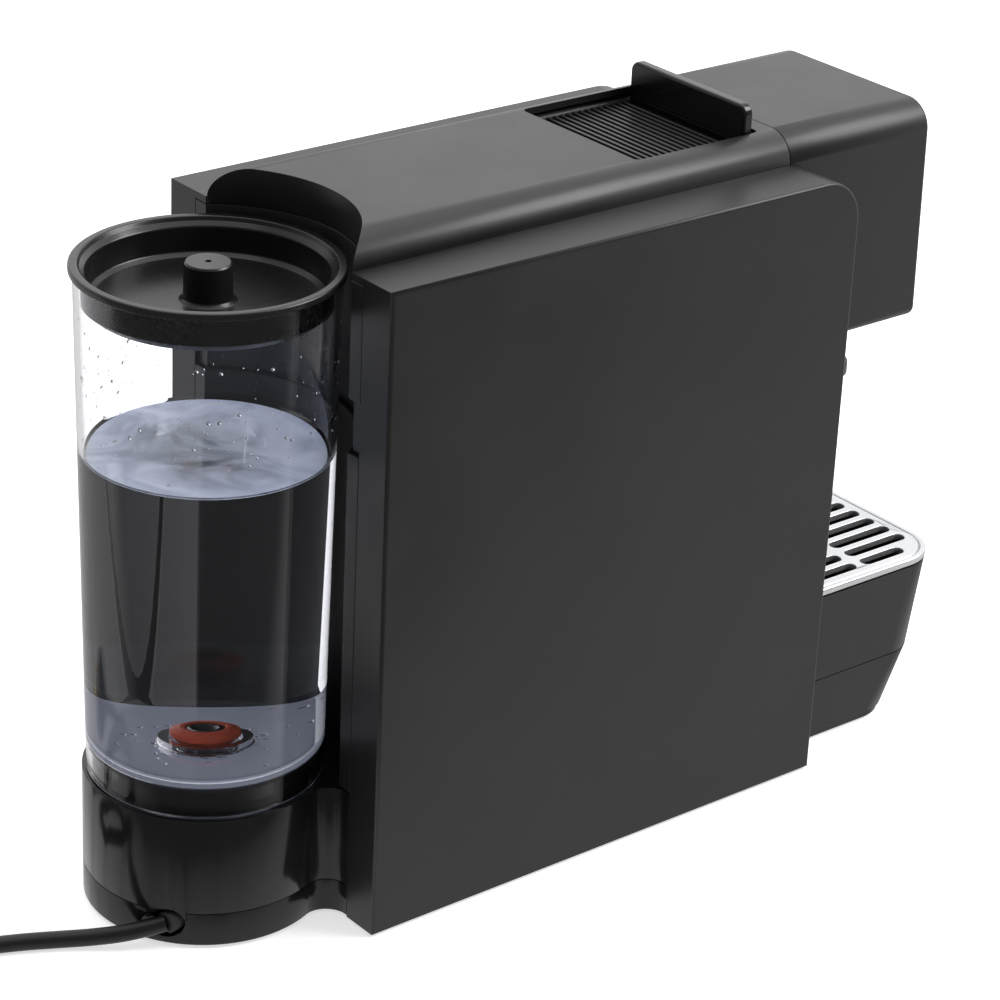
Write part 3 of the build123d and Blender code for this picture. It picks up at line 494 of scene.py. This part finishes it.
def make_tank():
    """The clear cup, with a skirt and a spigot under its floor and a ring round its outlet."""
    ring_in, ring_out = FLOOR_RING
    ring_top = FLOOR_Z + FLOOR_RING_HEIGHT
    section = [
        (LOW_RADIUS, LOW_Z, 0.5),
        (HIGH_RADIUS, RIM_Z, 0.6),
        (HIGH_RADIUS - GLASS, RIM_Z, 0.6),
        (inner_radius(FLOOR_Z), FLOOR_Z, FLOOR_CORNER),
        (ring_out, FLOOR_Z, 0.8),
        (ring_out, ring_top, 0.7),
        (ring_in, ring_top, 0.7),
        (ring_in, FLOOR_Z, 0.3),
        (STEM_HOLE, FLOOR_Z, 0.4),
        (STEM_HOLE, FLOOR_UNDER_Z, 0.3),
        (SPIGOT_BORE, FLOOR_UNDER_Z, 0.5),
        (SPIGOT_BORE, SPIGOT_Z, 0.4),
        (SPIGOT_RADIUS, SPIGOT_Z, 0.4),
        (SPIGOT_RADIUS, FLOOR_UNDER_Z, 1.2),
        (inner_radius(FLOOR_UNDER_Z), FLOOR_UNDER_Z, 1.5),
        (LOW_RADIUS - GLASS, LOW_Z, 0.5),
    ]
    tank = revolve("tank_shell", section, "tank", materials["clear_tank"], WALL_SEGMENTS)
    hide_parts("water_tank")


def make_frost_painted_glow_layer():
    """A frosted, pale violet layer within the tank's floor, with a painted glow that stands in for light
    gathered through the water.
    """
    reach = inner_radius(FLOOR_Z) - FROST_INSET
    low, high = (FLOOR_Z - depth for depth in FROST_LAYER)
    corners = [(FROST_HOLE, low), (reach, low), (reach, high), (FROST_HOLE, high)]
    section = [(*corner, FROST_EDGE) for corner in corners]
    revolve("tank_floor_frost_painted_glow", section, "tank", frost_painted_glow_material)


def make_water():
    """The water, a hair into the tank's wall and floor, curling up a little where it wets the wall."""
    bottom = FLOOR_Z - WATER_OVERLAP
    ring_in = FLOOR_RING[0] - RING_GAP
    ring_out = FLOOR_RING[1] + RING_GAP
    ring_top = FLOOR_Z + FLOOR_RING_HEIGHT + WATER_OVERLAP
    section = [
        (0, bottom),
        (STEM_HOLE + RING_GAP, bottom),
        (ring_in, bottom),
        (ring_in, ring_top),
        (ring_out, ring_top),
        (ring_out, bottom),
        (inner_radius(FLOOR_Z) + WATER_OVERLAP, bottom, FLOOR_CORNER),
        (inner_radius(WATER_Z + WETTING) + WATER_OVERLAP, WATER_Z + WETTING),
    ]
    for i in range(1, WETTING_STEPS + 1):
        inward = WETTING_REACH * i / WETTING_STEPS
        climb = WETTING * math.exp(-WETTING_FALL * inward)
        section.append((inner_radius(WATER_Z) - inward, WATER_Z + climb))
    section += [(STILL_RADIUS, WATER_Z), (0, WATER_Z)]
    revolve("tank_water", section, "tank", water_material, WALL_SEGMENTS)


# Painted light: the veil's pale colours, glow and cover stand in for the reflection and brightness of the
# water's surface.
PAINTED_VEIL_DIM = (0.60, 0.66, 0.80)
PAINTED_VEIL_BRIGHT = (0.92, 0.94, 1.0)
# Painted glow of the veil, though it is no lamp.
VEIL_PAINTED_GLOW = {"Emission Color": (0.72, 0.80, 1.0, 1), "Emission Strength": 0.26}
VEIL_PATCHES = 34.0                                    # per metre
VEIL_SWIRL = 1.6
PATCH_LOW = 0.35                                       # the patches' noise counts between these
PATCH_HIGH = 0.65
VEIL_COVER = (0.26, 0.80)                              # how opaque in the middle and near the wall
VEIL_COVER_REACH = (0.014, 0.041)                      # from the axis, in metres
VEIL_COVER_DRIFT = (-0.16, 0.20)                       # added to it by the patches
VEIL_INSET = 0.9


def painted_light_veil_material():
    """Painted light for the brightness that the water shows from above: a painted reflection and glow,
    pale violet, patchy, and most opaque near the wall."""
    material, tree, shader = new_material("water_painted_light_veil")
    middle = (0, TANK_Y, WATER_Z * MM)
    offset = computed(tree, "ShaderNodeVectorMath", "SUBTRACT", object_place(tree), middle)
    reach = computed(tree, "ShaderNodeVectorMath", "LENGTH", offset.outputs["Vector"])
    patches = noise(tree, VEIL_PATCHES, 2.0, distortion=VEIL_SWIRL)
    by_reach = spread(tree, reach.outputs["Value"], *VEIL_COVER, *VEIL_COVER_REACH)
    by_patch = spread(tree, patches, *VEIL_COVER_DRIFT, PATCH_LOW, PATCH_HIGH)
    cover = computed(tree, "ShaderNodeMath", "ADD", by_reach, by_patch)
    tree.links.new(cover.outputs[0], shader.inputs["Alpha"])
    tint = ramp(tree, patches, PAINTED_VEIL_DIM, PAINTED_VEIL_BRIGHT, PATCH_LOW, PATCH_HIGH)
    tree.links.new(tint, shader.inputs["Base Color"])
    set_inputs(shader, {"Roughness": 0.35, **VEIL_PAINTED_GLOW})
    return material


def make_painted_light_water_veil():
    """A paper-thin disc of painted light a hair above the water, edge to edge of the inside wall."""
    radius = inner_radius(WATER_Z) - VEIL_INSET
    section = [
        (0, WATER_Z + 0.35),
        (radius, WATER_Z + 0.55, 0.03),
        (radius, WATER_Z + 0.45, 0.03),
        (0, WATER_Z + 0.25),
    ]
    revolve("water_painted_light_skin", section, "tank", painted_light_veil_material())


FOOT_RADIUS = 5.6
FOOT_LOW_Z = 51.4
FOOT_HIGH_Z = 52.8
STEM_RADIUS = 2.2
DISC_RADIUS = 4.9
DISC_LOW_Z = 66.0
SEAL_RADIUS = 8.75
SEAL_LOW_Z = 64.4
SEAL_HIGH_Z = 70.0


def make_valve():
    """The dark poppet on its stem, dished on top, and the red silicone ring round it."""
    poppet = [
        (0, FOOT_LOW_Z),
        (FOOT_RADIUS, FOOT_LOW_Z, 0.4),
        (FOOT_RADIUS, FOOT_HIGH_Z, 0.4),
        (STEM_RADIUS, FOOT_HIGH_Z, 0.3),
        (STEM_RADIUS, DISC_LOW_Z, 0.3),
        (DISC_RADIUS, DISC_LOW_Z, 0.4),
        (DISC_RADIUS, 69.4, 0.6),
        (3.4, 69.9, 0.8),
        (2.6, 69.2, 0.6),
        (0, 69.0),
    ]
    stem = revolve("outlet_valve", poppet, "valve", materials["gloss_black"], 96)
    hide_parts("valve_poppet")
    ring = [
        (DISC_RADIUS, SEAL_LOW_Z, 0.4),
        (DISC_RADIUS, SEAL_HIGH_Z, 0.5),
        (6.2, SEAL_HIGH_Z, 0.8),
        (SEAL_RADIUS, 68.6, 1.2),
        (SEAL_RADIUS, 66.4, 1.0),
        (7.2, 65.6, 1.0),
        (7.2, SEAL_LOW_Z, 0.4),
    ]
    seal = revolve("valve_ring", ring, "valve", materials["silicone_red"])
    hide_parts("valve_seal")


LID_LOW_Z = RIM_Z + 0.3
LID_TOP_Z = 235.0
LID_RADIUS = 45.4
DISH_Z = 222.0
DISH_UNDER_Z = 220.0
KNOB_TOP_Z = 235.3
KNOB_DIMPLE = 1.0


def make_lid():
    """A dished lid with a plain knob in its middle, dimpled on top."""
    section = [
        (LID_RADIUS, LID_LOW_Z, 0.5),
        (LID_RADIUS, LID_TOP_Z, 0.9),
        (42.4, LID_TOP_Z, 0.7),
        (41.6, 233.6, 0.6),
        (39.8, 232.0, 1.2),
        (39.4, 223.4, 1.0),
        (37.6, DISH_Z, 1.0),
        (9.6, DISH_Z, 0.5),
        (8.3, 223.2, 1.0),
        (7.9, 234.6, 0.2),
        (7.3, KNOB_TOP_Z, 0.35),
        (KNOB_DIMPLE, KNOB_TOP_Z, 0.2),
        (KNOB_DIMPLE, DISH_UNDER_Z, 0.2),
        (38.4, DISH_UNDER_Z, 1.0),
        (41.2, 222.6, 1.0),
        (41.4, LID_LOW_Z, 0.3),
    ]
    lid = revolve("lid_cap", section, "lid", materials["lid_black"], WALL_SEGMENTS)
    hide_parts("tank_lid")


make_tank()
make_frost_painted_glow_layer()
make_water()
make_painted_light_water_veil()
make_valve()
make_lid()


# ------------------------------------------------------------------------------ droplets and bubbles
BEAD_SIDES = 10
BEAD_RINGS = 4
BEAD_SINK = 0.05                                       # share of its height that it is sunk by
DROPLETS = 260
DROPLET_SIZES = (0.25, 0.3, 0.35, 0.45, 0.7)
DROPLET_HEIGHT = 0.45                                  # share of its radius
DROPLET_LOW_Z = WATER_Z + 4
DROPLET_MOST_Z = WATER_Z + 22
DROPLET_HIGH_Z = 226
BUBBLES = 90
BUBBLE_SIZES = (0.25, 0.75)                            # least and greatest radius
BUBBLE_HEIGHT = 0.8                                    # share of its radius
BUBBLE_LIFT = 0.1
NEAR_VALVE = (11.8, 15.5)                              # radii from the tank's axis
OVER_FLOOR = (16, 34)


def add_bead(shape, centre, normal, width, height):
    """A flattened half ball standing on a surface, its flat side just below that surface."""
    across = normal.orthogonal().normalized()
    along = normal.cross(across)
    top = shape.verts.new(centre + normal * height)
    previous = [top]
    for ring in range(1, BEAD_RINGS + 1):
        tilt = math.pi / 2 * ring / BEAD_RINGS
        radius = width * math.sin(tilt)
        lift = height * math.cos(tilt) - height * BEAD_SINK
        current = []
        for k in range(BEAD_SIDES):
            angle = 2 * math.pi * k / BEAD_SIDES
            offset = across * (radius * math.cos(angle)) + along * (radius * math.sin(angle))
            current.append(shape.verts.new(centre + offset + normal * lift))
        for k in range(BEAD_SIDES):
            j = (k + 1) % BEAD_SIDES
            if len(previous) == 1:
                shape.faces.new((top, current[k], current[j]))
            else:
                shape.faces.new((previous[k], current[k], current[j], previous[j]))
        previous = current
    shape.faces.new(list(reversed(previous)))


def make_droplets():
    """Fine beads of water left on the inside of the wall above the surface."""
    shape = bmesh.new()
    for _ in range(DROPLETS):
        angle = random.uniform(0, 2 * math.pi)
        height = random.triangular(DROPLET_LOW_Z, DROPLET_HIGH_Z, DROPLET_MOST_Z)
        size = random.choice(DROPLET_SIZES)
        outward = Vector((math.cos(angle), math.sin(angle), 0))
        centre = Vector((0, TANK_Y, height * MM)) + outward * (inner_radius(height) * MM)
        add_bead(shape, centre, -outward, size * MM, size * DROPLET_HEIGHT * MM)
    add_piece("wall_droplets", shape, water_material, "tank")


def make_bubbles():
    """Small air bubbles on the tank's floor, half of them close round the valve."""
    shape = bmesh.new()
    for _ in range(BUBBLES):
        angle = random.uniform(0, 2 * math.pi)
        radius = random.choice((random.uniform(*NEAR_VALVE), random.uniform(*OVER_FLOOR)))
        size = random.uniform(*BUBBLE_SIZES)
        x = radius * math.cos(angle) * MM
        y = TANK_Y + radius * math.sin(angle) * MM
        centre = Vector((x, y, (FLOOR_Z + BUBBLE_LIFT) * MM))
        add_bead(shape, centre, Vector((0, 0, 1)), size * MM, size * BUBBLE_HEIGHT * MM)
    add_piece("floor_bubbles", shape, bubble_material, "tank")


make_droplets()
make_bubbles()


# ------------------------------------------------------------------------------ floor and light
FLOOR_DARK = (0.92, 0.92, 0.92)
FLOOR_LIGHT = (0.94, 0.94, 0.94)
FLOOR_GLOW = {"Emission Color": (1, 1, 1, 1), "Emission Strength": 0.62}
FLOOR_RADIUS = 6.0
FLOOR_SIDES = 96
FLOOR_DROP = 0.0002                                    # below the feet, in metres
MIRROR_BACKWARD = (-0.76, 0.65, 0.0)
MIRROR_GLOW = (0.72, 0.12)                             # of the floor's mirror image, before and behind
MIRROR_CHANGE = (0.13, 0.20)                           # where it changes, in metres along that way
KEY_PLACE = (-0.75, -1.0, 1.25)
KEY_AIM = (0, 0, 0.12)
TOP_PLACE = (0.1, -0.1, 1.7)
TOP_AIM = (0, 0, 0)
WORLD_BRIGHT_WAY = (0.66, -0.64, 0.40)
WORLD_GLOW = (0.15, 1.35)
WORLD_CHANGE = (-0.2, 0.95)                            # how much a direction faces the bright way


def floor_material():
    """White paper that glows a little, so that shadows stay faint. In mirror reflections it is dimmer,
    most of all behind the machine, so that glossy black plastic stays dark there."""
    material, tree, shader = new_material("floor_white")
    drift = noise(tree, 3.0, 2.0)
    tree.links.new(ramp(tree, drift, FLOOR_DARK, FLOOR_LIGHT), shader.inputs["Base Color"])
    set_inputs(shader, {"Roughness": 0.9, "Specular IOR Level": 0.1, **FLOOR_GLOW})
    behind = computed(tree, "ShaderNodeVectorMath", "DOT_PRODUCT", object_place(tree), MIRROR_BACKWARD)
    mirrored = tree.nodes.new("ShaderNodeEmission")
    glow = spread(tree, behind.outputs["Value"], *MIRROR_GLOW, *MIRROR_CHANGE)
    tree.links.new(glow, mirrored.inputs["Strength"])
    path = tree.nodes.new("ShaderNodeLightPath")
    reflected = computed(tree, "ShaderNodeMath", "MINIMUM", path.outputs["Glossy Depth"], 1.0)
    either = tree.nodes.new("ShaderNodeMixShader")
    tree.links.new(reflected.outputs[0], either.inputs["Fac"])
    tree.links.new(shader.outputs["BSDF"], either.inputs[1])
    tree.links.new(mirrored.outputs["Emission"], either.inputs[2])
    tree.links.new(either.outputs["Shader"], tree.nodes["Material Output"].inputs["Surface"])
    return material


def make_floor():
    """The wide pale disc that the machine stands on."""
    shape = bmesh.new()
    ring = []
    for k in range(FLOOR_SIDES):
        angle = 2 * math.pi * k / FLOOR_SIDES
        place = (FLOOR_RADIUS * math.cos(angle), FLOOR_RADIUS * math.sin(angle), -FLOOR_DROP)
        ring.append(shape.verts.new(place))
    shape.faces.new(ring)
    mesh = bpy.data.meshes.new("studio_floor")
    shape.to_mesh(mesh)
    shape.free()
    mesh.materials.append(floor_material())
    floor = bpy.data.objects.new("studio_floor", mesh)
    bpy.context.scene.collection.objects.link(floor)


def make_softbox(name, place, aim, size, power):
    """A square area light of a size in metres and a power in watts."""
    data = bpy.data.lights.new(name, "AREA")
    data.shape = "SQUARE"
    data.size = size
    data.energy = power
    light = bpy.data.objects.new(name, data)
    light.location = place
    light.rotation_euler = (Vector(aim) - Vector(place)).to_track_quat("-Z", "Y").to_euler()
    bpy.context.scene.collection.objects.link(light)


def make_world():
    """Even white surroundings, brighter beyond the machine's front than behind it."""
    world = bpy.data.worlds.new("studio")
    bpy.context.scene.world = world
    world.use_nodes = True
    tree = world.node_tree
    background = tree.nodes["Background"]
    place = tree.nodes.new("ShaderNodeTexCoord").outputs["Generated"]
    bright_way = Vector(WORLD_BRIGHT_WAY).normalized()
    facing = computed(tree, "ShaderNodeVectorMath", "DOT_PRODUCT", place, bright_way)
    strength = spread(tree, facing.outputs["Value"], *WORLD_GLOW, *WORLD_CHANGE)
    tree.links.new(strength, background.inputs["Strength"])
    background.inputs["Color"].default_value = (1.0, 1.0, 1.0, 1.0)


make_floor()
make_world()
make_softbox("key_softbox", KEY_PLACE, KEY_AIM, 0.9, 20)
make_softbox("top_softbox", TOP_PLACE, TOP_AIM, 1.6, 7)
bpy.context.scene.view_settings.view_transform = "Standard"


# ------------------------------------------------------------------------------ final update
bpy.context.view_layer.update()
